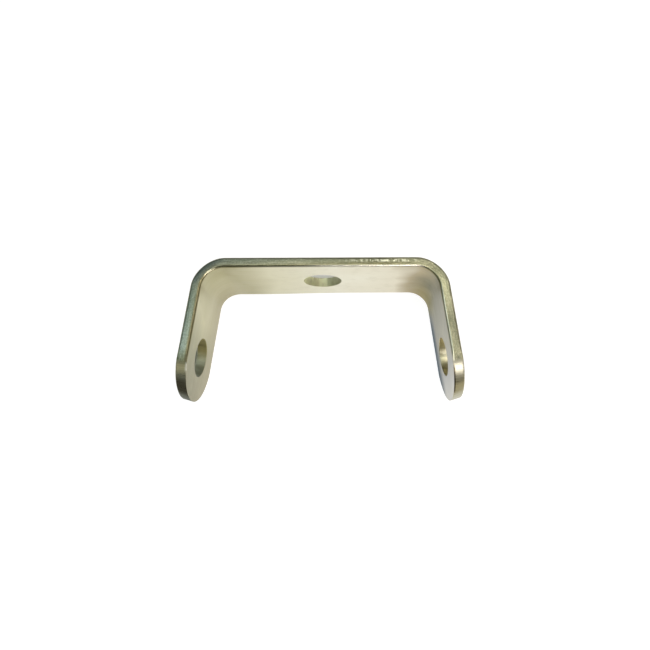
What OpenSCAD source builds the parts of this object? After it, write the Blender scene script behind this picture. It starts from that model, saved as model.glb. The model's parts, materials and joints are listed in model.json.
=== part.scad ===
// U-shaped bracket, bent from one length of flat steel strap.
// The web lies along X with its outer face on the plane y = 0, and the ears reach towards -Y.
// The strap's width stands along Z. The origin is the centre of the web's bolt hole, on the outer face.

/* [Strap] */
// Width of the strap
strap_w = 30; // [20:0.5:40]
// Thickness of the strap
strap_t = 3.5; // [2:0.1:6]
// Radius rolled onto the strap's long edges
edge_r = 0.8; // [0.2:0.1:0.9]

/* [Bracket] */
// Outer width across the web, between the corners where the ears' outer faces would meet it
web_w = 82; // [60:1:140]
// Length of each ear's outer face, from that corner to the rounded tip
ear_l = 45.5; // [38:0.5:90]
// Outer radius of the two bends
bend_r = 11; // [7.5:0.5:16]
// Outward lean of each ear from square, in degrees
ear_lean = 7; // [0:0.5:12]

/* [Holes] */
// Diameter of the bolt hole in the middle of the web
web_hole_d = 13; // [6:0.5:16]
// Diameter of the bolt hole in each ear, concentric with the ear's rounded tip
ear_hole_d = 13; // [6:0.5:16]

/* [Hidden] */
$fn = 96;
// Angle that each bend turns through
bend_angle = 90 - ear_lean;
// Distance from the virtual corner to where a bend starts, the same on the web and on the ear
setback = bend_r * tan(bend_angle / 2);
// Flat length between the two bends
web_flat = web_w - 2 * setback;
// Flat length of an ear, from the end of its bend to its tip
ear_flat = ear_l - setback;
// Centre of the ear's rounded tip and of its hole, from the end of the bend
ear_centre = ear_flat - strap_w / 2;
// Hair by which the strap is drawn in where it stretches around a bend
bend_draw = 0.01;
// Angle by which each end of a bend runs on inside the flat next to it
bend_lap = 0.5;
// Distance by which cutting shapes run past the faces that they cut
past = 2;

// Cross-section of the strap, drawn in all round by inset:
// thickness from -strap_t to 0 along x, width centred on y
module section(inset = 0) {
    round_r = edge_r - inset;
    low_x = inset - strap_t;
    half_w = strap_w / 2 - inset;
    translate([low_x + round_r, -half_w])
        square([strap_t - 2 * edge_r, 2 * half_w]);
    translate([low_x, -half_w + round_r])
        square([strap_t - 2 * inset, 2 * (half_w - round_r)]);
    for (x = [low_x + round_r, -inset - round_r], side = [-1, 1])
        translate([x, side * (half_w - round_r)])
            circle(r = round_r);
}

// Straight length of strap along +X, with its outer face on the plane y = 0
module flat(length) {
    rotate([90, 0, 90])
        linear_extrude(height = length)
            section();
}

// Bend that carries on from a flat that ends at x = 0 and turns towards -Y
module bend() {
    translate([0, -bend_r, 0])
        rotate([0, 0, ear_lean - bend_lap])
            rotate_extrude(angle = bend_angle + 2 * bend_lap)
                translate([bend_r, 0])
                    section(bend_draw);
}

// Round hole through the strap's thickness
module bolt_hole(diameter) {
    translate([0, -strap_t / 2, 0])
        rotate([90, 0, 0])
            cylinder(d = diameter, h = strap_t + 2 * past, center = true);
}

// Outline that an ear is cropped to: open towards the bend, a half circle at the tip
module ear_crop() {
    translate([0, past, 0])
        rotate([90, 0, 0])
            linear_extrude(height = strap_t + 2 * past) {
                translate([-past, -strap_w / 2 - past])
                    square([ear_centre + past, strap_w + 2 * past]);
                translate([ear_centre, 0])
                    circle(d = strap_w);
            }
}

// Ear along +X, starting at the end of its bend
module ear() {
    difference() {
        intersection() {
            flat(ear_flat);
            ear_crop();
        }
        translate([ear_centre, 0, 0])
            bolt_hole(ear_hole_d);
    }
}

// One bend and the ear after it, carrying on from a flat that ends at x = 0
module side() {
    bend();
    translate([0, -bend_r, 0])
        rotate([0, 0, -bend_angle])
            translate([0, bend_r, 0])
                ear();
}

module bracket() {
    color([0.74, 0.72, 0.63])
        union() {
            difference() {
                translate([-web_flat / 2, 0, 0])
                    flat(web_flat);
                bolt_hole(web_hole_d);
            }
            for (turn = [0, 1])
                mirror([turn, 0, 0])
                    translate([web_flat / 2, 0, 0])
                        side();
        }
}

bracket();
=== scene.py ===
"""A U-shaped bracket bent from zinc-plated flat steel strap, lying on one long edge on a pale floor.

The bracket is built flat, in the strap's own coordinates, and then bent: s runs along the strap from
the middle of the web, v across its width, and w through its thickness from the outer face. Metres.
"""
import json
import math

import bpy
import numpy as np
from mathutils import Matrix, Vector, noise

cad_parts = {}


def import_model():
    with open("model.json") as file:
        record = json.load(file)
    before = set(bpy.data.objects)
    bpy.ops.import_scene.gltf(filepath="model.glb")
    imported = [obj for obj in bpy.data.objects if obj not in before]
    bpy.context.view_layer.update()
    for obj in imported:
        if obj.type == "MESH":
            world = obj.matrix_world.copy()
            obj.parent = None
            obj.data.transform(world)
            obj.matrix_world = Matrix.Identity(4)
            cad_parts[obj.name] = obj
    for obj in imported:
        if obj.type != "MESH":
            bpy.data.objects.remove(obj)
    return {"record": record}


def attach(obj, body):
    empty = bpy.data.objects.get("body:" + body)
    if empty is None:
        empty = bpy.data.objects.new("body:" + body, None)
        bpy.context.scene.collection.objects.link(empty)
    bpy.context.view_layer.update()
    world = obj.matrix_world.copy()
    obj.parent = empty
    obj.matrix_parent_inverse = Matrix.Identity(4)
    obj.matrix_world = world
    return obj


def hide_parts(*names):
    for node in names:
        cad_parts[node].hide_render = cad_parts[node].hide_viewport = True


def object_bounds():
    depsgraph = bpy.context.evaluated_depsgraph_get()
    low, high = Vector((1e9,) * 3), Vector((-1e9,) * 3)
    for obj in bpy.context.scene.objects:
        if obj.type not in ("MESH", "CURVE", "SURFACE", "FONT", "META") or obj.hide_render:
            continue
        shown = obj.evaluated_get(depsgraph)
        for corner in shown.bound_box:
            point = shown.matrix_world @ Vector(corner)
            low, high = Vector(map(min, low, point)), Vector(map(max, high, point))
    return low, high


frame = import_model()
cad_lo, cad_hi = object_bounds()

MM = 0.001

# ---- sizes taken from the frame -------------------------------------------------------------------
mounts = {m["name"]: m for m in frame["record"]["mounts"]}
STRAP_W = cad_hi.z - cad_lo.z
STRAP_T = mounts["web_hole"]["dims"]["length_mm"] * MM
HOLE_R = mounts["web_hole"]["dims"]["r_mm"] * MM
EAR_AXIS = mounts["right_ear_hole"]["axis"]
EAR_HOLE = [p + STRAP_T / 2 * a for p, a in zip(mounts["right_ear_hole"]["pos_m"], EAR_AXIS)]

# ---- sizes of the bends and edges -----------------------------------------------------------------
BEND_R = 11 * MM        # outer radius of the two bends
EDGE_R = 0.8 * MM       # rolled radius on the strap's long edges
CUT_ROLL = 0.35 * MM    # rounding that the punch leaves on the outer face
CUT_BURR = 0.12 * MM    # small rounding on the inner face, where the punch comes out
CUT_SHARP = 0.012 * MM  # rounding where an ear's end only just starts to cut into the rolled edge
CUT_FULL = 0.4 * MM     # depth of cut from which an ear's end has its full rounding
LAND = 0.42 * STRAP_T   # depth down to which the punch sheared a hole's wall clean
FRACTURE = 0.07 * MM    # how much a hole widens where its wall broke away
TIP_SLANT = 0.60 * MM   # how much shorter the ear's rounded end is on its outer face
WEB_TWIST = 0.42 * MM   # how far the web's left end leans inward at its foot
TWIST_START = 8 * MM    # how far to the right of the web's middle this lean starts
TWIST_FULL = 6 * MM     # how far before the left bend it is full
THINNING = 0.06 * MM    # how much the outer face sinks where a bend stretches it
DRAW_IN = 0.30 * MM     # how much the outer face narrows on each side at a bend
BITE = (0.35 * MM, 0.80 * MM)   # depth of cut over which the rolled edge gives way to the punched end
PIT_DEPTH = 0.045 * MM  # middling depth of the pits on the rolled edges
WAVE_DEPTH = 0.012 * MM     # middling depth of the waves on the faces and the punched walls
PIT_GRAIN = (1.1 * MM, 0.9 * MM, 0.7 * MM)
WAVE_GRAIN = (13 * MM, 9 * MM, 6 * MM)
DRAG_GRAIN = (0.5 * MM, 0.5 * MM, 6 * MM)
BORE_MARGIN = 0.6 * MM  # how far past a hole's radius the shading of its wall reaches
SIDE_GAIN = 1.4         # how soon a surface that turns away from the faces counts as an edge

# ---- the developed strap --------------------------------------------------------------------------
LEAN = math.atan2(EAR_AXIS[1], EAR_AXIS[0])
TURN = math.pi / 2 - LEAN
CORNER_TO_HOLE = -EAR_HOLE[1] / math.cos(LEAN)
CORNER_X = EAR_HOLE[0] - CORNER_TO_HOLE * math.sin(LEAN)
SETBACK = BEND_R * math.tan(TURN / 2)
WEB_HALF = CORNER_X - SETBACK
BEND_LEN = (BEND_R - STRAP_T / 2) * TURN
EAR_S = WEB_HALF + BEND_LEN + CORNER_TO_HOLE - SETBACK
TIP_R = STRAP_W / 2
FACE_V = STRAP_W / 2 - EDGE_R

# ---- mesh pitch -----------------------------------------------------------------------------------
PITCH = 0.45 * MM       # along the strap and round the ear ends
BLOCK = 12.0 * MM       # half length of the square of mesh round a hole
COLUMNS = 26            # across a face
SUPPORT = 0.3 * MM      # distance of the support loops from an edge
RIM_LEAST = 1.5 * SUPPORT   # least distance from the strap's wall to the flat mesh of its face
RIM_SAMPLES = 60        # for measuring the run of a rolled edge
RIM_POINTS = 6          # from a flat face to where the punched corner starts
WALL_POINTS = 8         # down the wall of the strap's outline
ROLL_POINTS = 6         # over a hole's rounded rim
LAND_POINTS = 4         # down the clean part of its wall
BREAK_POINTS = 6        # down the broken part
BURR_POINTS = 4         # over its burr
WELD_STEPS = 1e7        # places per metre at which vertices are told apart
RINGS = np.concatenate(([0, 0.035], np.linspace(0.12, 0.94, 9), [1]))   # shares from rim to block

# ---- where the looks change, in strap coordinates, in mm --------------------------------------------
# Each pair says where a mask is 0 and where it is 1; two pairs are the two sides of a window.
# Along the strap, from the middle of the web:
RIGHT_OF_HOLE = (10.0, 20.0)
LEFT_OF_WEB = (-22.0, -38.0)
RIGHT_LEG = (44.0, 50.0)
RIGHT_EAR = (44.0, 54.0)
LEFT_BEND = ((-44.5, -42.5), (-30.0, -36.0))
RIGHT_BEND = ((32.0, 37.0), (50.0, 45.0))
PLATED_WEB = ((-41.0, -39.0), (40.0, 36.0))     # where the web's inner corner is bright
SPECKLED = ((5.0, 18.0), (33.0, 29.0))
LEFT_GLINT = ((-72.6, -71.8), (-69.0, -69.8))
RIGHT_LIP = ((70.0, 71.5), (79.0, 78.0))
BAND_FADE = (10.0, 38.0)        # over which the edge's banding fades from left to right
WALL_CHANGE = (20.0, 50.0)      # from the web hole's roughness to the right ear hole's
CORNER_CHANGE = (-46.0, -40.0)  # from the left ear's wider inner corner to the web's
# Across the strap, from its middle; minus is towards the foot that lies on the floor:
SKEWED = (13.0, -13.0)
LEFT_FOOT = (4.0, -12.0)
RIGHT_FOOT = (-5.0, -13.5)
RIGHT_FOOT_EDGE = (-7.0, -13.0)
BEND_FOOT = (2.0, -8.0)
# Through the thickness, from the outer face:
OUTER_SKIN = (1.2, 0.4)
OUTER_HALF = (2.2, 1.4)
OUTER_CORNER = (0.9, 0.3)
INNER_HALF = (1.5, 2.5)
FLECK_LINE = ((0.7, 1.15), (2.0, 1.5))
LIP_DEPTH = (2.9, 3.1)
GLINT_DEPTH = (2.95, 3.1)
INNER_CORNER = (2.3, 2.7)       # where it starts, on the left ear and on the rest of the strap
INNER_CORNER_FULL = 2.95
THICKNESS = (0.0, STRAP_T / MM)
DRIFT = 4.5             # how far the faces' tints wander along the strap
SKEW = 5.0              # how much further along they come at the foot, right of the web's hole

# ---- noises over the strap: grain along s, v and w in mm, detail, roughness -------------------------
CLOUD = ((22.0, 14.0, 9.0), 1.5, 0.5)
STAINS = ((5.0, 4.0, 3.0), 4.0, 0.6)
BRUSHING = ((11.0, 0.45, 0.45), 3.0, 0.5)
STREAKS = ((4.6, 0.8, 0.42), 3.0, 0.6)
MOTTLE = ((0.6, 0.5, 0.45), 3.0, 0.65)
SPECKS = ((0.75, 2.0, 1.2), 2.0, 0.6)
DRAG_LINES = ((0.35, 0.35, 7.0), 2.0, 0.5)
SMEARS = ((1.6, 1.6, 3.5), 3.0, 0.5)
FINE_LINES = ((2.5, 0.22, 0.22), 2.0, 0.5)
PITS = ((0.55, 0.35, 0.30), 3.0, 0.6)
# ranges of a noise over which what it drives comes in
NOISE_RANGE = (0.3, 0.7)
SMEAR_RANGE = (0.35, 0.65)
STAIN_RANGE = (0.50, 0.78)
BRUSH_RANGE = (0.40, 0.65)
SPECK_RANGE = (0.48, 0.58)

# ---- colours, all linear --------------------------------------------------------------------------
WHITE = (1.0, 1.0, 1.0)
BLACK = (0.0, 0.0, 0.0)
# painted reflection of shade: darker straw at the foot of the web's left end
STRAW_SHADE = (0.34, 0.30, 0.17)
STAIN = (0.42, 0.38, 0.24)
# painted reflection of shade: blue grey along the right ear's foot
SLATE_SHADE = (0.14, 0.15, 0.17)
# painted reflection of shade: a darker strip at the right ear's foot, next to its edge
DARK_SLATE_SHADE = (0.12, 0.14, 0.17)
BRUSHED = (0.80, 0.77, 0.68)
OUTER_FACE = (0.56, 0.53, 0.41)
# painted shade: dark green on the outer half of the left bend's edge
BEND_SHADE_GREEN = (0.13, 0.16, 0.15)
FLECK = (0.92, 0.90, 0.72)
# painted shade: a dark line along the inner corner of the right ear's end
LIP_SHADE = (0.10, 0.08, 0.05)
GLINT = (1.0, 0.94, 0.80)
EDGE_HIGHLIGHT = (1.6, 1.55, 1.45)       # painted highlight: brightens the outer corner of the right leg's edge
BEND_GLANCE_SHADE = (0.90, 0.87, 0.72)    # painted shade on the glancing reflections at the foot of the right bend
FOOT_GLANCE_SHADE = (0.40, 0.47, 0.50)    # painted shade on the glancing reflections at the foot of the right ear
EDGE_STREAKS = [(0.34, (0.27, 0.29, 0.21)), (0.50, (0.42, 0.43, 0.32)), (0.66, (0.60, 0.60, 0.47))]
# painted reflections of the edge's rounded corners: darker at the outer corner, warmer at the inner one
EDGE_BAND = [(0.10, (0.68, 0.72, 0.69)), (0.40, (0.92, 0.94, 0.93)), (0.66, (1.10, 1.08, 1.00)),
             (0.82, (1.00, 0.92, 0.74)), (0.92, (1.00, 0.88, 0.66))]
END_STREAKS = [(0.3, (0.50, 0.46, 0.34)), (0.7, (0.66, 0.62, 0.48))]
WALL_SMEARS = [(0.35, (0.84, 0.82, 0.78)), (0.65, (1.12, 1.13, 1.15))]

# ---- colours along the strap, as (mm from the middle of the web, linear colour) --------------------
# They join the finish's own colour with the shading and reflections that it has in the photograph.
TINT_REACH = 82.0       # mm from the middle of the web to the ends of these ramps
FACE_TINTS = [(-78, (0.24, 0.22, 0.13)), (-64, (0.28, 0.27, 0.15)), (-50, (0.52, 0.49, 0.31)),
              (-30, (0.36, 0.33, 0.17)), (-18, (0.59, 0.56, 0.39)), (8, (0.71, 0.68, 0.55)),
              (25, (0.70, 0.65, 0.51)), (31, (0.38, 0.31, 0.17)), (42, (0.14, 0.13, 0.06)),
              (54, (0.23, 0.22, 0.16)), (64, (0.30, 0.29, 0.22)), (73, (0.35, 0.35, 0.33)),
              (80, (0.56, 0.54, 0.49))]
# EDGE_TINTS: the stops above 1 are painted highlights, strongest by the right bend
EDGE_TINTS = [(-69, (0.90, 0.92, 0.84)), (-65, (0.98, 1.06, 1.24)), (-50, (0.71, 0.77, 0.82)),
              (-38, (0.70, 0.69, 0.75)), (-28, (0.74, 0.74, 0.76)), (-10, (0.94, 0.90, 0.87)),
              (20, (0.64, 0.60, 0.49)), (38, (1.20, 1.15, 1.05)), (43, (1.30, 1.25, 1.13)),
              (49.5, (1.08, 1.03, 0.95)), (56, (0.63, 0.61, 0.57)), (62, (0.73, 0.70, 0.66)),
              (70, (0.95, 0.90, 0.84))]
# painted reflections in the edges' inner corner: brown and dark lines, a bright line along the web and
# a glint at the left bend
INNER_CORNER_REFLECTIONS = [(-75, (0.22, 0.20, 0.12)), (-41, (0.28, 0.24, 0.13)), (-38.5, (0.98, 0.88, 0.64)),
                      (-37, (0.98, 0.88, 0.64)), (-35, (0.07, 0.06, 0.04)), (-6, (0.12, 0.11, 0.07)),
                      (4, (0.86, 0.82, 0.68)), (32, (0.92, 0.88, 0.76)), (36, (0.27, 0.26, 0.17)),
                      (43, (0.34, 0.33, 0.22)), (50, (0.98, 0.96, 0.78)), (74, (0.92, 0.90, 0.70))]
# BORE_TINTS: painted highlights and shade in the hole walls, brightest in the middle of the web hole
# and in the right ear's hole
BORE_TINTS = [(-71, (0.33, 0.35, 0.29)), (-66, (0.50, 0.52, 0.40)), (-62, (0.42, 0.37, 0.17)),
              (-8, (0.78, 0.77, 0.51)), (0, (0.98, 0.97, 0.71)), (7, (0.35, 0.35, 0.25)),
              (59, (0.66, 0.56, 0.31)), (64, (0.82, 0.78, 0.58)), (67, (0.45, 0.43, 0.30)),
              (71, (0.34, 0.32, 0.20))]
# END_TINTS: the stop above 1 at 74.2 mm is a painted highlight across the right ear's end
END_TINTS = [(-76, WHITE), (-68, (0.98, 0.92, 0.72)), (68, WHITE), (72.3, WHITE),
             (74.2, (1.5, 1.5, 1.45)), (76.2, WHITE), (80, (0.72, 0.73, 0.68))]

# ---- how strongly each mask shows -------------------------------------------------------------------
STRAW_SHADE_COVER = 0.75
STAIN_COVER = 0.30
SLATE_SHADE_COVER = 0.80
DARK_SLATE_SHADE_COVER = 0.85
BRUSHED_COVER = 0.06
OUTER_COVER = 0.75
BEND_SHADE_COVER = 0.6
MOTTLE_SHARE = 0.55     # of the mottling, against the streaks
BAND_COVER = (1.0, 0.15)    # at the two ends of BAND_FADE

# ---- relief in the shading; the heights are shares of its distance ---------------------------------
BUMP_DISTANCE = 0.05 * MM
BUMP_STRENGTH = 0.5
FINE_HEIGHT = 0.12
PLATED_HEIGHT = 0.15
DRAG_HEIGHT = 0.3
SMEAR_HEIGHT = 1.2

# ---- roughness; a pair is for the low and the high end of the noise that varies it -------------------
FACE_ROUGH = (0.32, 0.40)
EDGE_ROUGH = (0.55, 0.40)
END_ROUGH = (0.26, 0.34)
PLATED_ROUGH = 0.22
LEFT_WALL_ROUGH = (0.54, 0.68)
RIGHT_WALL_ROUGH = 0.38

# ---- camera ----------------------------------------------------------------------------------------
EYE = (0.0095, -0.0645, 0.1871)
ELEVATION = math.radians(76.46)     # how steeply it looks down
ROLL = math.radians(-0.26)
LENS = 30.87            # mm
SHIFT_X = -0.0393       # share of the picture's width
CLIP_START = 0.005

# ---- stage -----------------------------------------------------------------------------------------
MIDDLE = (cad_lo + cad_hi) / 2
LEFT_SKY = (0.78, 0.98, 0.95)
RIGHT_SKY = (1.0, 0.92, 0.72)
SKY_TURN = 0.6          # sideways share of a direction at which it has the left or right tone alone
SKY_STRENGTH = (0.08, 0.24)     # at the horizon, and straight up
FLOOR_REACH = 4.0
FLOOR_GREY = (0.35, 0.35, 0.35)
FLOOR_GLOW = 0.90
WALL_RADIUS = 3.9       # of the backdrop, which stands just inside the floor's edge
WALL_HEIGHT = 4.0
WALL_SIDES = 48
CARD_LIFT = 0.1 * MM    # how far a card lies above the floor
SHADE_TONE = (0.27, 0.28, 0.18)
SHADE_LIFT = 0.02 * MM  # how far the shade lies above the floor
SHADE_PITCH = 0.75 * MM
SHADE_REACH = 7 * MM    # how far the shade on the floor reaches out from the strap
SHADE_ROWS = np.linspace(-0.25, 1.0, 11)    # shares of the reach; the first rows lie under the strap
SHADE_FADE = (0.4, 1.0)     # shares of the reach over which it fades out
SHADE_END = (1 * MM, 9 * MM)    # past the holes' middles along the ears, where it fades out
SHADE_DEPTH = 0.97      # how much of the floor it hides where it is deepest
SHADE_AT_WEB = 0.66     # how deep it is along the web, as a share of its depth along the ears


def steps(start, stop, pitch):
    """Even values from start to stop, both included, about pitch apart."""
    return np.linspace(start, stop, max(2, round(abs(stop - start) / pitch) + 1))


def columns():
    """Positions across a face, with a support loop next to each side."""
    inner = np.linspace(-FACE_V + SUPPORT, FACE_V - SUPPORT, COLUMNS - 1)
    return np.concatenate(([-FACE_V], inner, [FACE_V]))


def tip_angles():
    """Angles round an ear's rounded end, from one long edge to the other."""
    return np.linspace(math.pi / 2, -math.pi / 2, round(math.pi * TIP_R / PITCH) + 1)


def arc_depth(u):
    """How far a rolled edge has fallen below the face, at a distance u in from the strap's side."""
    rest = np.clip(EDGE_R - u, 0, EDGE_R)
    return EDGE_R - np.sqrt(EDGE_R ** 2 - rest ** 2)


def cut_depth(angle):
    """How far the ear's rounded end has cut in from the strap's long side, at an angle round it."""
    return TIP_R * (1 - abs(math.sin(angle)))


def rim_inset(cut):
    """Distance from the wall to where the face's flat mesh stops."""
    return max(EDGE_R - cut, RIM_LEAST)


def rim_profile(cut, rounding):
    """From the flat face to the wall, as (inset from the wall, depth below the face)."""
    radius = max(CUT_SHARP, rounding * min(1.0, cut / CUT_FULL))
    u = np.linspace(rim_inset(cut), radius, RIM_SAMPLES)
    w = arc_depth(u + cut)
    run = np.concatenate(([0], np.cumsum(np.hypot(np.diff(u), np.diff(w)))))
    at = np.linspace(0, run[-1], RIM_POINTS)
    points = list(zip(np.interp(at, run, u), np.interp(at, run, w)))
    corner = float(arc_depth(cut))
    start, middle, end = points[-1], (0.0, corner), (0.0, corner + radius)
    for t in (0.25, 0.5, 0.75, 1.0):
        a, b, c = (1 - t) ** 2, 2 * t * (1 - t), t * t
        points.append(tuple(a * p + b * q + c * r for p, q, r in zip(start, middle, end)))
    return points


def edge_profile(cut):
    """Whole profile of the strap's outline, from its outer face over the wall to its inner face."""
    outer = rim_profile(cut, CUT_ROLL)
    inner = [(u, STRAP_T - w) for u, w in rim_profile(cut, CUT_BURR)]
    wall = [(0.0, w) for w in np.linspace(outer[-1][1], inner[-1][1], WALL_POINTS)[1:-1]]
    return outer + wall + inner[::-1]


def hole_profile():
    """Whole profile of a punched hole, as (growth of its radius, depth), from the outer face."""
    roll = [(CUT_ROLL * (1 - math.sin(a)), CUT_ROLL * (1 - math.cos(a)))
            for a in np.linspace(0, math.pi / 2, ROLL_POINTS)]
    wall = [(0.0, w) for w in np.linspace(CUT_ROLL, LAND, LAND_POINTS)[1:]]
    end = STRAP_T - CUT_BURR
    broken = [(FRACTURE * (w - LAND) / (end - LAND), w)
              for w in np.linspace(LAND, end, BREAK_POINTS)[1:]]
    burr = [(FRACTURE + CUT_BURR * (1 - math.cos(a)), end + CUT_BURR * math.sin(a))
            for a in np.linspace(0, math.pi / 2, BURR_POINTS)[1:]]
    return roll + wall + broken + burr


class Sheet:
    """Vertices in strap coordinates, welded by place, and the quads between them."""

    def __init__(self):
        self.points, self.index, self.faces = [], {}, []

    def vertex(self, s, v, w):
        """The number of the vertex at this place, which is made if it isn't there yet."""
        key = (round(s * WELD_STEPS), round(v * WELD_STEPS), round(w * WELD_STEPS))
        if key not in self.index:
            self.index[key] = len(self.points)
            self.points.append((s, v, w))
        return self.index[key]

    def grid(self, rows, flip=False):
        """Quads between neighbouring rows of points; flip turns them over."""
        ids = [[self.vertex(*p) for p in row] for row in rows]
        for low, high in zip(ids, ids[1:]):
            for a, b, c, d in zip(low, low[1:], high[1:], high):
                quad = (a, b, c, d)
                self.faces.append(quad[::-1] if flip else quad)


def block_boundary(centre, rounded):
    """Points round a hole's block, anticlockwise. rounded: the +s side is the ear's rounded end."""
    across = columns()
    points = [(-BLOCK, v) for v in across[::-1]]
    if rounded:
        half = steps(-BLOCK, 0, PITCH)
        points += [(s, -FACE_V) for s in half[1:]]
        for angle in tip_angles()[::-1][1:-1]:
            r = TIP_R - rim_inset(cut_depth(angle))
            points.append((r * math.cos(angle), r * math.sin(angle)))
        points += [(s, FACE_V) for s in half[::-1]]
    else:
        side = steps(-BLOCK, BLOCK, PITCH)
        points += [(s, -FACE_V) for s in side[1:]]
        points += [(BLOCK, v) for v in across[1:]]
        points += [(s, FACE_V) for s in side[::-1][1:]]
    return [(centre + s, v) for s, v in points]


def hole_block(sheet, centre, w, growth, rounded, mirror, flip):
    """Face of the strap round a hole, as rings of quads from the hole's rim to the block's boundary."""
    rim = HOLE_R + growth
    boundary = block_boundary(centre, rounded)
    rows = []
    for share in RINGS:
        row = []
        for s, v in boundary:
            away = math.hypot(s - centre, v)
            scale = (rim + (away - rim) * share) / away
            row.append((mirror * (centre + (s - centre) * scale), v * scale, w))
        rows.append(row)
    sheet.grid(rows, flip)


def face(sheet, w, growth, flip):
    """One whole face of the strap at depth w, with its three holes left open."""
    hole_block(sheet, 0.0, w, growth, False, 1, flip)
    stations = steps(BLOCK, EAR_S - BLOCK, PITCH)
    for mirror in (1, -1):
        turned = flip if mirror == 1 else not flip
        sheet.grid([[(mirror * s, v, w) for v in columns()] for s in stations], turned)
        hole_block(sheet, EAR_S, w, growth, True, mirror, turned)


def outline():
    """The strap's outline as (wall point, outward direction, depth of cut), all the way round."""
    web = steps(-BLOCK, BLOCK, PITCH)
    strip = steps(BLOCK, EAR_S - BLOCK, PITCH)
    half = steps(EAR_S - BLOCK, EAR_S, PITCH)
    side = np.concatenate((-half[::-1], -strip[::-1][1:], web[1:], strip[1:], half[1:]))
    top = [((s, TIP_R), (0.0, 1.0), 0.0) for s in side]
    right = [((EAR_S + TIP_R * math.cos(a), TIP_R * math.sin(a)), (math.cos(a), math.sin(a)),
              cut_depth(a)) for a in tip_angles()[1:-1]]
    half_turn = [((-s, -v), (-n, -m), cut) for (s, v), (n, m), cut in top + right]
    return top + right + half_turn


def edge_wall(sheet):
    """The strap's long edges and rounded ear ends, from the outer face to the inner face."""
    ring = outline()
    rows = [[(s - n * u, v - m * u, w) for u, w in edge_profile(cut)]
            for (s, v), (n, m), cut in ring]
    sheet.grid(rows + rows[:1])


def hole_wall(sheet, centre, rounded, mirror):
    """The wall of one punched hole."""
    rows = []
    for s, v in block_boundary(centre, rounded):
        away = math.hypot(s - centre, v)
        n, m = (s - centre) / away, v / away
        rows.append([(mirror * (centre + n * (HOLE_R + g)), m * (HOLE_R + g), w)
                     for g, w in hole_profile()])
    sheet.grid(rows, mirror == -1)


def bend(points):
    """Places points of the flat strap (s, v, w) on the bent strap (x, y, z)."""
    s, v, w = points.T
    side, run = np.sign(s), np.abs(s)
    angle = np.clip((run - WEB_HALF) / (BEND_R - STRAP_T / 2), 0, TURN)
    radius = BEND_R - w
    along = np.minimum(run, WEB_HALF) + radius * np.sin(angle)
    down = BEND_R - radius * np.cos(angle)
    ear = np.maximum(run - WEB_HALF - BEND_LEN, 0)
    x = side * (along + ear * math.cos(TURN))
    y = -(down + ear * math.sin(TURN))
    return np.stack((x, y, v), axis=1)


def bendness(s):
    """1 in the middle of a bend, 0 on the flats."""
    t = np.clip((np.abs(s) - WEB_HALF) / BEND_LEN, 0, 1)
    return np.sin(math.pi * t) ** 2


def stretch(points):
    """Thins and narrows the strap where a bend stretches its outer side, and slants the ears' tips."""
    s, v, w = points.T
    slant = TIP_SLANT * (1 - w / STRAP_T) * ease(np.abs(s), EAR_S + HOLE_R + 1 * MM, EAR_S + TIP_R)
    s = s - np.sign(s) * slant
    outer = bendness(s) * (1 - w / STRAP_T)
    return np.stack((s, v * (1 - outer * DRAW_IN / TIP_R), w + outer * THINNING), axis=1)


def twist(points, shaped):
    """Leans the foot of the web's left half inward a little; the lean ends with the bend."""
    s, v, _ = points.T
    grown = ease(-s, -TWIST_START, WEB_HALF - TWIST_FULL)
    ended = ease(-s, WEB_HALF, WEB_HALF + BEND_LEN)
    lean = WEB_TWIST * (grown * (1 - ended)) * np.clip(0.5 - v / STRAP_W, 0, 1)
    return shaped - np.stack((np.zeros_like(s), lean, np.zeros_like(s)), axis=1)


def field(points, scale, octaves=1, offset=0.0):
    """Smooth noise from -1 to 1 at each point. scale: its grain along s, v and w; offset shifts it."""
    size = Vector(scale)
    return np.array([noise.fractal(Vector((p[0] / size.x + offset, p[1] / size.y, p[2] / size.z)),
                                   1.0, 2.0, octaves) for p in points])


def ease(value, low, high):
    """0 below low, 1 above high, smooth between."""
    share = np.clip((value - low) / (high - low), 0, 1)
    return share * share * (3 - 2 * share)


def masks(points, normals):
    """How far each vertex belongs to the rolled edge, to the punched ear ends and to the bores."""
    s, v, w = points.T
    sideways = np.clip(SIDE_GAIN - SIDE_GAIN * np.abs(normals[:, 2]), 0, 1)
    past_hole = np.clip(np.abs(s) - EAR_S, 0, TIP_R)
    bitten = TIP_R - np.sqrt(TIP_R ** 2 - past_hole ** 2)
    punched = ease(bitten, *BITE)
    from_hole = np.minimum(np.hypot(np.abs(s) - EAR_S, v), np.hypot(s, v))
    in_bore = from_hole < HOLE_R + BORE_MARGIN
    rolled = sideways * (1 - punched) * ~in_bore
    cut = sideways * punched * ~in_bore
    return rolled, cut, sideways * in_bore


def relief(points, normals, rolled, cut):
    """Sinks the surface a little: pits on the rolled edges, drag lines on the punched walls, waves."""
    pits = field(points, PIT_GRAIN, 2)
    waves = field(points, WAVE_GRAIN, 2, 7.0)
    drag = field(points, DRAG_GRAIN, 2, 3.0)
    smooth = cut * (1 + drag) + (1 - rolled) * (1 - cut) * (1 + waves)
    depth = rolled * PIT_DEPTH * (1 + pits) + smooth * WAVE_DEPTH
    return points - normals * np.clip(depth, 0, None)[:, None]


def put_in_scene(name, data):
    """A new object that shows this mesh, light or camera."""
    thing = bpy.data.objects.new(name, data)
    bpy.context.scene.collection.objects.link(thing)
    return thing


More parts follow.
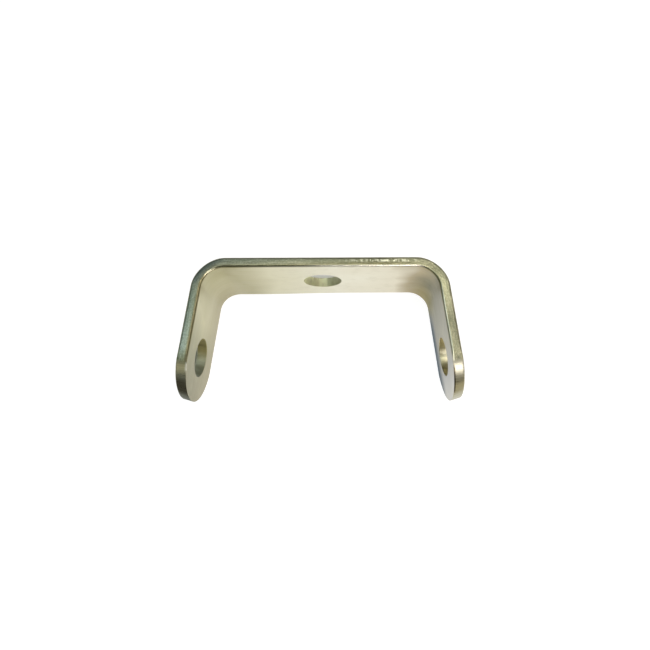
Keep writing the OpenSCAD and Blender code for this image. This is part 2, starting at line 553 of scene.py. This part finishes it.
def bracket():
    """The bent strap as one closed mesh."""
    sheet = Sheet()
    hole = hole_profile()
    face(sheet, 0.0, hole[0][0], False)
    face(sheet, STRAP_T, hole[-1][0], True)
    edge_wall(sheet)
    hole_wall(sheet, 0.0, False, 1)
    for mirror in (1, -1):
        hole_wall(sheet, EAR_S, True, mirror)
    flat = np.array(sheet.points)
    mesh = bpy.data.meshes.new("bracket_strap")
    mesh.from_pydata([tuple(p) for p in flat], [], sheet.faces)
    normals = np.zeros(len(flat) * 3)
    mesh.vertices.foreach_get("normal", normals)
    normals = normals.reshape(-1, 3)
    rolled, cut, bore = masks(flat, normals)
    shaped = twist(flat, bend(stretch(relief(flat, normals, rolled, cut + bore))))
    mesh.vertices.foreach_set("co", shaped.astype(np.float32).ravel())
    for name, values in (("rolled", rolled), ("cut", cut), ("bore", bore)):
        mesh.attributes.new(name, "FLOAT", "POINT").data.foreach_set("value", values.astype(np.float32))
    strap = mesh.attributes.new("strap", "FLOAT_VECTOR", "POINT")
    strap.data.foreach_set("vector", (flat / MM).astype(np.float32).ravel())
    mesh.shade_smooth()
    mesh.update()
    return put_in_scene("bracket_strap", mesh)


class Nodes:
    """Shorthand for laying out one material's nodes."""

    def __init__(self, name):
        self.material = bpy.data.materials.new(name)
        self.material.use_nodes = True
        self.tree = self.material.node_tree
        self.shader = self.tree.nodes["Principled BSDF"]

    def add(self, kind, values=(), **settings):
        """A node with its settings; values maps an input to a constant or another node's output."""
        node = self.tree.nodes.new("ShaderNode" + kind)
        for key, value in settings.items():
            setattr(node, key, value)
        for key, value in dict(values).items():
            self.put(node.inputs[key], value)
        return node

    def put(self, socket, value):
        """Links another node's output to a socket, or sets the socket to a constant."""
        if isinstance(value, bpy.types.NodeSocket):
            self.tree.links.new(value, socket)
        else:
            socket.default_value = value

    def attribute(self, name, output):
        """One output of a vertex attribute."""
        return self.add("Attribute", attribute_name=name).outputs[output]

    def maths(self, operation, *values):
        """The result of one operation on numbers or nodes' outputs."""
        return self.add("Math", enumerate(values), operation=operation).outputs[0]

    def product(self, *factors):
        """All the factors multiplied together."""
        result = factors[0]
        for factor in factors[1:]:
            result = self.maths("MULTIPLY", result, factor)
        return result

    def ramp(self, fac, stops):
        """A colour ramp; stops are pairs of a place from 0 to 1 and a colour."""
        node = self.add("ValToRGB", {"Fac": fac})
        elements = node.color_ramp.elements
        while len(elements) < len(stops):
            elements.new(0.5)
        for element, (position, colour) in zip(elements, stops):
            element.position = position
            element.color = (*colour, 1.0)
        return node.outputs["Color"]

    def ramp_along(self, along, stops):
        """A ramp whose stops are given in mm along the strap from the middle of the web."""
        share = self.span(along, -TINT_REACH, TINT_REACH)
        return self.ramp(share, [((mm + TINT_REACH) / (2 * TINT_REACH), tint) for mm, tint in stops])

    def span(self, value, low, high, to_low=0.0, to_high=1.0):
        """Goes from to_low to to_high as the value goes from low to high, and stays within them."""
        return self.add("MapRange", {"Value": value, "From Min": low, "From Max": high,
                                     "To Min": to_low, "To Max": to_high}).outputs["Result"]

    def window(self, value, low_side, high_side):
        """1 inside a range and 0 outside it; each side is a pair of where it is 0 and where it is 1."""
        return self.product(self.span(value, *low_side), self.span(value, *high_side))

    def blend(self, fac, a, b, mode="MIX"):
        """Colour b laid over colour a by a factor; each is a node's output or a plain colour."""
        node = self.add("Mix", {"Factor": fac}, data_type="RGBA", blend_type=mode)
        for socket, colour in ((node.inputs[6], a), (node.inputs[7], b)):
            self.put(socket, (*colour, 1.0) if isinstance(colour, tuple) else colour)
        return node.outputs[2]

    def blend_value(self, fac, a, b):
        """Number b in place of number a by a factor."""
        node = self.add("Mix", {"Factor": fac}, data_type="FLOAT")
        self.put(node.inputs[2], a)
        self.put(node.inputs[3], b)
        return node.outputs[0]


class StrapNodes(Nodes):
    """Nodes of the strap's material, with its places and noises; lengths are in mm."""

    def __init__(self, name):
        super().__init__(name)
        self.strap = self.attribute("strap", "Vector")
        self.along, self.across, self.through = self.add("SeparateXYZ", {0: self.strap}).outputs
        self.cloud = self.grain(*CLOUD)
        self.mottle = self.grain(*MOTTLE)
        self.drag = self.grain(*DRAG_LINES)
        self.smear = self.grain(*SMEARS)

    def grain(self, size, detail, roughness):
        """Noise from 0 to 1 over the strap; size is its grain along s, v and w."""
        scaled = self.add("VectorMath", {0: self.strap, 1: size}, operation="DIVIDE").outputs[0]
        noise_node = self.add("TexNoise", {"Vector": scaled, "Scale": 1.0, "Detail": detail,
                                           "Roughness": roughness})
        return noise_node.outputs["Fac"]


def face_colour(n):
    """Straw, cream and grey passivate, with dark reflections of the photographed room painted in."""
    drift = n.maths("ADD", n.along, n.span(n.cloud, *NOISE_RANGE, -DRIFT, DRIFT))
    skew = n.product(n.span(n.along, *RIGHT_OF_HOLE), n.span(n.across, *SKEWED, 0.0, SKEW))
    colour = n.ramp_along(n.maths("SUBTRACT", drift, skew), FACE_TINTS)
    # painted reflection of shade: darker straw towards the foot of the web's left end
    far_left_shade = n.product(n.span(n.along, *LEFT_OF_WEB), n.span(n.across, *LEFT_FOOT), STRAW_SHADE_COVER)
    colour = n.blend(far_left_shade, colour, STRAW_SHADE)
    stain = n.span(n.grain(*STAINS), *STAIN_RANGE, 0.0, STAIN_COVER)
    colour = n.blend(stain, colour, STAIN)
    # painted reflection of shade: blue grey along the right ear's foot
    far_right_shade = n.product(n.span(n.along, *RIGHT_EAR), n.span(n.across, *RIGHT_FOOT), SLATE_SHADE_COVER)
    colour = n.blend(far_right_shade, colour, SLATE_SHADE)
    brush = n.span(n.grain(*BRUSHING), *BRUSH_RANGE, 0.0, BRUSHED_COVER)
    colour = n.blend(brush, colour, BRUSHED)
    return n.blend(n.span(n.through, *OUTER_SKIN, 0.0, OUTER_COVER), colour, OUTER_FACE)


def edge_colour(n, inner_corner):
    """Rolled edges: dull green grey streaks with pale flecks, with painted reflections that make them
    darker towards the outer face, painted highlights by the right bend, painted shade on the left bend
    and painted reflections in the inner corner.
    """
    mixed = n.blend_value(MOTTLE_SHARE, n.grain(*STREAKS), n.mottle)
    colour = n.ramp(mixed, EDGE_STREAKS)
    colour = n.blend(1.0, colour, n.ramp_along(n.along, EDGE_TINTS), "MULTIPLY")
    band = n.ramp(n.span(n.through, *THICKNESS), EDGE_BAND)
    colour = n.blend(n.span(n.along, *BAND_FADE, *BAND_COVER), colour, band, "MULTIPLY")
    # painted highlight on the outer corner of the right leg's edge
    outer_right_highlight = n.product(n.span(n.along, *RIGHT_LEG), n.span(n.through, *OUTER_CORNER))
    colour = n.blend(outer_right_highlight, colour, EDGE_HIGHLIGHT, "MULTIPLY")
    # painted shade on the outer half of the left bend's edge
    left_bend_shade = n.product(n.window(n.along, *LEFT_BEND), n.span(n.through, *OUTER_HALF), BEND_SHADE_COVER)
    colour = n.blend(left_bend_shade, colour, BEND_SHADE_GREEN)
    # painted reflections in the inner corner
    colour = n.blend(inner_corner, colour, n.ramp_along(n.along, INNER_CORNER_REFLECTIONS))
    in_line = n.product(n.window(n.along, *SPECKLED), n.window(n.through, *FLECK_LINE))
    fleck = n.product(in_line, n.span(n.grain(*SPECKS), *SPECK_RANGE))
    return n.blend(fleck, colour, FLECK)


def end_colour(n):
    """The ears' punched ends: bright drag lines, painted shade along the lip on the right, a painted
    glint on the left and a painted highlight across the right ear's end.
    """
    colour = n.ramp(n.drag, END_STREAKS)
    colour = n.blend(1.0, colour, n.ramp_along(n.along, END_TINTS), "MULTIPLY")
    # painted shade along the inner corner of the right ear's end
    lip = n.product(n.window(n.along, *RIGHT_LIP), n.span(n.through, *LIP_DEPTH))
    colour = n.blend(lip, colour, LIP_SHADE)
    glint = n.product(n.window(n.along, *LEFT_GLINT), n.span(n.through, *GLINT_DEPTH))
    return n.blend(glint, colour, GLINT)


def wall_colour(n):
    """The holes' walls: smeared, and duller than the ears' ends, with painted highlights and shade
    along the strap.
    """
    colour = n.ramp(n.smear, WALL_SMEARS)
    return n.blend(1.0, colour, n.ramp_along(n.along, BORE_TINTS), "MULTIPLY")


def glance_tint(n, right_foot_shade):
    """Tint of glancing reflections, with painted shade at the right ear's foot and the right bend's
    foot.
    """
    bend_foot_shade = n.product(n.window(n.along, *RIGHT_BEND), n.span(n.across, *BEND_FOOT))
    return n.blend(right_foot_shade, n.blend(bend_foot_shade, WHITE, BEND_GLANCE_SHADE), FOOT_GLANCE_SHADE)


def roughness(n, rolled, cut, bore, plated):
    """Satin faces, matt edges, shinier punched ends, and hole walls that are duller on the left."""
    satin = n.span(n.cloud, *NOISE_RANGE, *FACE_ROUGH)
    matt = n.blend_value(plated, n.span(n.mottle, *NOISE_RANGE, *EDGE_ROUGH), PLATED_ROUGH)
    shine = n.span(n.drag, *NOISE_RANGE, *END_ROUGH)
    rough = n.blend_value(cut, n.blend_value(rolled, satin, matt), shine)
    left_wall = n.span(n.smear, *SMEAR_RANGE, *LEFT_WALL_ROUGH)
    wall = n.blend_value(n.span(n.along, *WALL_CHANGE), left_wall, RIGHT_WALL_ROUGH)
    return n.blend_value(bore, rough, wall)


def bump(n, rolled, cut, bore, plated):
    """Fine lines on the faces, pits on the edges, drag lines on the ends, smears in the holes."""
    pits = n.grain(*PITS)
    pits = n.blend_value(plated, pits, n.product(pits, PLATED_HEIGHT))
    height = n.blend_value(rolled, n.product(n.grain(*FINE_LINES), FINE_HEIGHT), pits)
    height = n.blend_value(cut, height, n.product(n.drag, DRAG_HEIGHT))
    height = n.blend_value(bore, height, n.product(n.smear, SMEAR_HEIGHT))
    node = n.add("Bump", {"Height": height, "Strength": BUMP_STRENGTH, "Distance": BUMP_DISTANCE})
    return node.outputs["Normal"]


def zinc():
    """Zinc plating with a pale passivate: satin faces, mottled rolled edges, brighter punched ends."""
    n = StrapNodes("zinc_plated_steel")
    rolled, cut, bore = (n.attribute(name, "Fac") for name in ("rolled", "cut", "bore"))
    corner_start = n.span(n.along, *CORNER_CHANGE, *INNER_CORNER)
    inner_corner = n.span(n.through, corner_start, INNER_CORNER_FULL)
    plated = n.product(n.window(n.along, *PLATED_WEB), inner_corner)
    # painted shade at the right ear's foot, in the colour and in the glancing reflections
    right_foot_shade = n.product(n.span(n.along, *RIGHT_EAR), n.span(n.across, *RIGHT_FOOT_EDGE),
                           n.span(n.through, *INNER_HALF))
    colour = n.blend(rolled, face_colour(n), edge_colour(n, inner_corner))
    colour = n.blend(n.product(right_foot_shade, DARK_SLATE_SHADE_COVER), colour, DARK_SLATE_SHADE)
    colour = n.blend(cut, colour, end_colour(n))
    colour = n.blend(bore, colour, wall_colour(n))

    n.put(n.shader.inputs["Base Color"], colour)
    n.put(n.shader.inputs["Specular Tint"], glance_tint(n, right_foot_shade))
    n.put(n.shader.inputs["Roughness"], roughness(n, rolled, cut, bore, plated))
    n.put(n.shader.inputs["Normal"], bump(n, rolled, cut, bore, plated))
    n.put(n.shader.inputs["Metallic"], 1.0)
    return n.material


def plain(name, colour, roughness, glow=BLACK, strength=0.0):
    """Nodes of a material of one even colour, which may give off light of its own."""
    n = Nodes(name)
    n.put(n.shader.inputs["Base Color"], (*colour, 1.0))
    n.put(n.shader.inputs["Roughness"], roughness)
    n.put(n.shader.inputs["Emission Color"], (*glow, 1.0))
    n.put(n.shader.inputs["Emission Strength"], strength)
    return n


def stage_piece(name, points, quads, material):
    """A piece of the stage, which isn't part of the bracket."""
    mesh = bpy.data.meshes.new(name)
    mesh.from_pydata(points, [], quads)
    mesh.materials.append(material)
    piece = put_in_scene(name, mesh)
    return piece


def softbox(name, place, size, watts, colour):
    """A rectangular soft light that faces the bracket."""
    data = bpy.data.lights.new(name, "AREA")
    data.shape = "RECTANGLE"
    data.size, data.size_y = size
    data.energy = watts
    data.color = colour
    light = put_in_scene(name, data)
    light.location = place
    light.rotation_euler = (MIDDLE - Vector(place)).to_track_quat("-Z", "Y").to_euler()


def floor():
    """A plain white floor under the bracket, which mostly glows by itself."""
    z, reach = cad_lo.z, FLOOR_REACH
    corners = [(-reach, -reach, z), (reach, -reach, z), (reach, reach, z), (-reach, reach, z)]
    white = plain("floor_white", FLOOR_GREY, 0.8, WHITE, FLOOR_GLOW)
    stage_piece("floor", corners, [(0, 1, 2, 3)], white.material)


def contact_shade():
    """A painted strip of soft shade on the floor, along the strap's outer foot."""
    z = cad_lo.z + SHADE_LIFT
    fade_from, end = EAR_S + SHADE_END[0], EAR_S + SHADE_END[1]
    s = steps(-end, end, SHADE_PITCH)
    on_ears = ease(np.abs(s), WEB_HALF, EAR_S - TIP_R)
    depth = SHADE_DEPTH * (SHADE_AT_WEB + (1 - SHADE_AT_WEB) * on_ears)
    depth = depth * (1 - ease(np.abs(s), fade_from, end))
    points, fade = [], []
    for out in SHADE_ROWS:
        row = bend(np.stack((s, np.zeros_like(s), np.full_like(s, -out * SHADE_REACH)), axis=1))
        points += [(x, y, z) for x, y, _ in row]
        fade += list((1 - ease(out, *SHADE_FADE)) * depth)
    count = len(s)
    quads = [(r * count + i, r * count + i + 1, (r + 1) * count + i + 1, (r + 1) * count + i)
             for r in range(len(SHADE_ROWS) - 1) for i in range(count - 1)]
    n = plain("floor_shade", SHADE_TONE, 0.9)
    n.put(n.shader.inputs["Alpha"], n.attribute("fade", "Fac"))
    mesh = stage_piece("contact_shade", points, quads, n.material).data
    mesh.attributes.new("fade", "FLOAT", "POINT").data.foreach_set("value", np.array(fade, np.float32))


def card(name, corners, tone):
    """A card of one even tone that is only seen in reflections."""
    piece = stage_piece(name, corners, [(0, 1, 2, 3)], plain(name, BLACK, 1.0, tone, 1.0).material)
    piece.visible_camera = piece.visible_diffuse = piece.visible_shadow = False


def standing(left, right, y, top):
    """Corners of a card that stands on the floor and faces the ears."""
    low = cad_lo.z
    return [(left, y, low), (right, y, low), (right, y, top), (left, y, top)]


def lying(left, right, front, back):
    """Corners of a card that lies just above the floor."""
    z = cad_lo.z + CARD_LIFT
    return [(left, front, z), (right, front, z), (right, back, z), (left, back, z)]


def backdrop():
    """A pale wall all round, far off, that only the camera sees."""
    sides = WALL_SIDES
    turns = [2 * math.pi * i / sides for i in range(sides)]
    ring = [(WALL_RADIUS * math.cos(turn), WALL_RADIUS * math.sin(turn)) for turn in turns]
    low = [(x, y, cad_lo.z) for x, y in ring]
    high = [(x, y, WALL_HEIGHT) for x, y in ring]
    quads = [(i, (i + 1) % sides, sides + (i + 1) % sides, sides + i) for i in range(sides)]
    white = plain("backdrop_white", BLACK, 0.5, WHITE, 1.0)
    wall = stage_piece("backdrop", low + high, quads, white.material)
    wall.visible_diffuse = wall.visible_glossy = wall.visible_shadow = False


def world():
    """Dim light from all round: cooler on the left, warmer on the right, brighter towards the top."""
    scene = bpy.context.scene
    scene.world = bpy.data.worlds.new("studio")
    scene.world.use_nodes = True
    tree = scene.world.node_tree
    background = tree.nodes["Background"]
    ray = tree.nodes.new("ShaderNodeTexCoord")
    split = tree.nodes.new("ShaderNodeSeparateXYZ")
    side = tree.nodes.new("ShaderNodeMapRange")
    side.inputs["From Min"].default_value = -SKY_TURN
    side.inputs["From Max"].default_value = SKY_TURN
    tint = tree.nodes.new("ShaderNodeValToRGB")
    for element, tone in zip(tint.color_ramp.elements, (LEFT_SKY, RIGHT_SKY)):
        element.color = (*tone, 1)
    tree.links.new(ray.outputs["Generated"], split.inputs[0])
    tree.links.new(split.outputs["X"], side.inputs["Value"])
    tree.links.new(side.outputs["Result"], tint.inputs["Fac"])
    tree.links.new(tint.outputs["Color"], background.inputs["Color"])
    height = tree.nodes.new("ShaderNodeMapRange")
    height.inputs["To Min"].default_value, height.inputs["To Max"].default_value = SKY_STRENGTH
    tree.links.new(split.outputs["Z"], height.inputs["Value"])
    tree.links.new(height.outputs["Result"], background.inputs["Strength"])
    scene.view_settings.view_transform = "Standard"


def camera():
    """Looks down on the bracket from the ears' side, nearly square to the strap's edge."""
    data = bpy.data.cameras.new("camera")
    data.lens = LENS
    data.shift_x = SHIFT_X
    data.clip_start = CLIP_START
    eye = put_in_scene("camera", data)
    eye.location = EYE
    eye.rotation_euler = (math.pi / 2 - ELEVATION, 0.0, ROLL)
    bpy.context.scene.camera = eye


camera()
world()
floor()
backdrop()
contact_shade()
card("card_front_left", standing(-0.095, -0.044, -0.065, 0.020), (0.03, 0.03, 0.02))
# painted shade: a dark card on the floor in front of the left ear, seen only in reflections
card("card_foot_left_shade", lying(-0.085, -0.040, -0.065, -0.047), (0.23, 0.255, 0.26))
card("card_front_right", standing(0.044, 0.095, -0.072, 0.012), (0.60, 0.56, 0.40))
softbox("overhead_right", (0.12, 0.03, 0.45), (0.16, 0.16), 0.45, (1.0, 0.95, 0.85))
softbox("overhead_left", (-0.10, 0.05, 0.45), (0.16, 0.16), 0.25, (0.88, 1.0, 0.98))
softbox("front_right", (0.13, -0.36, 0.40), (0.24, 0.16), 0.58, (1.0, 0.98, 1.0))
softbox("front_left", (-0.26, -0.30, 0.36), (0.16, 0.16), 0.035, (1.0, 1.0, 0.75))
strap = bracket()
strap.data.materials.append(zinc())
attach(strap, "root")
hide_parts("bracket")
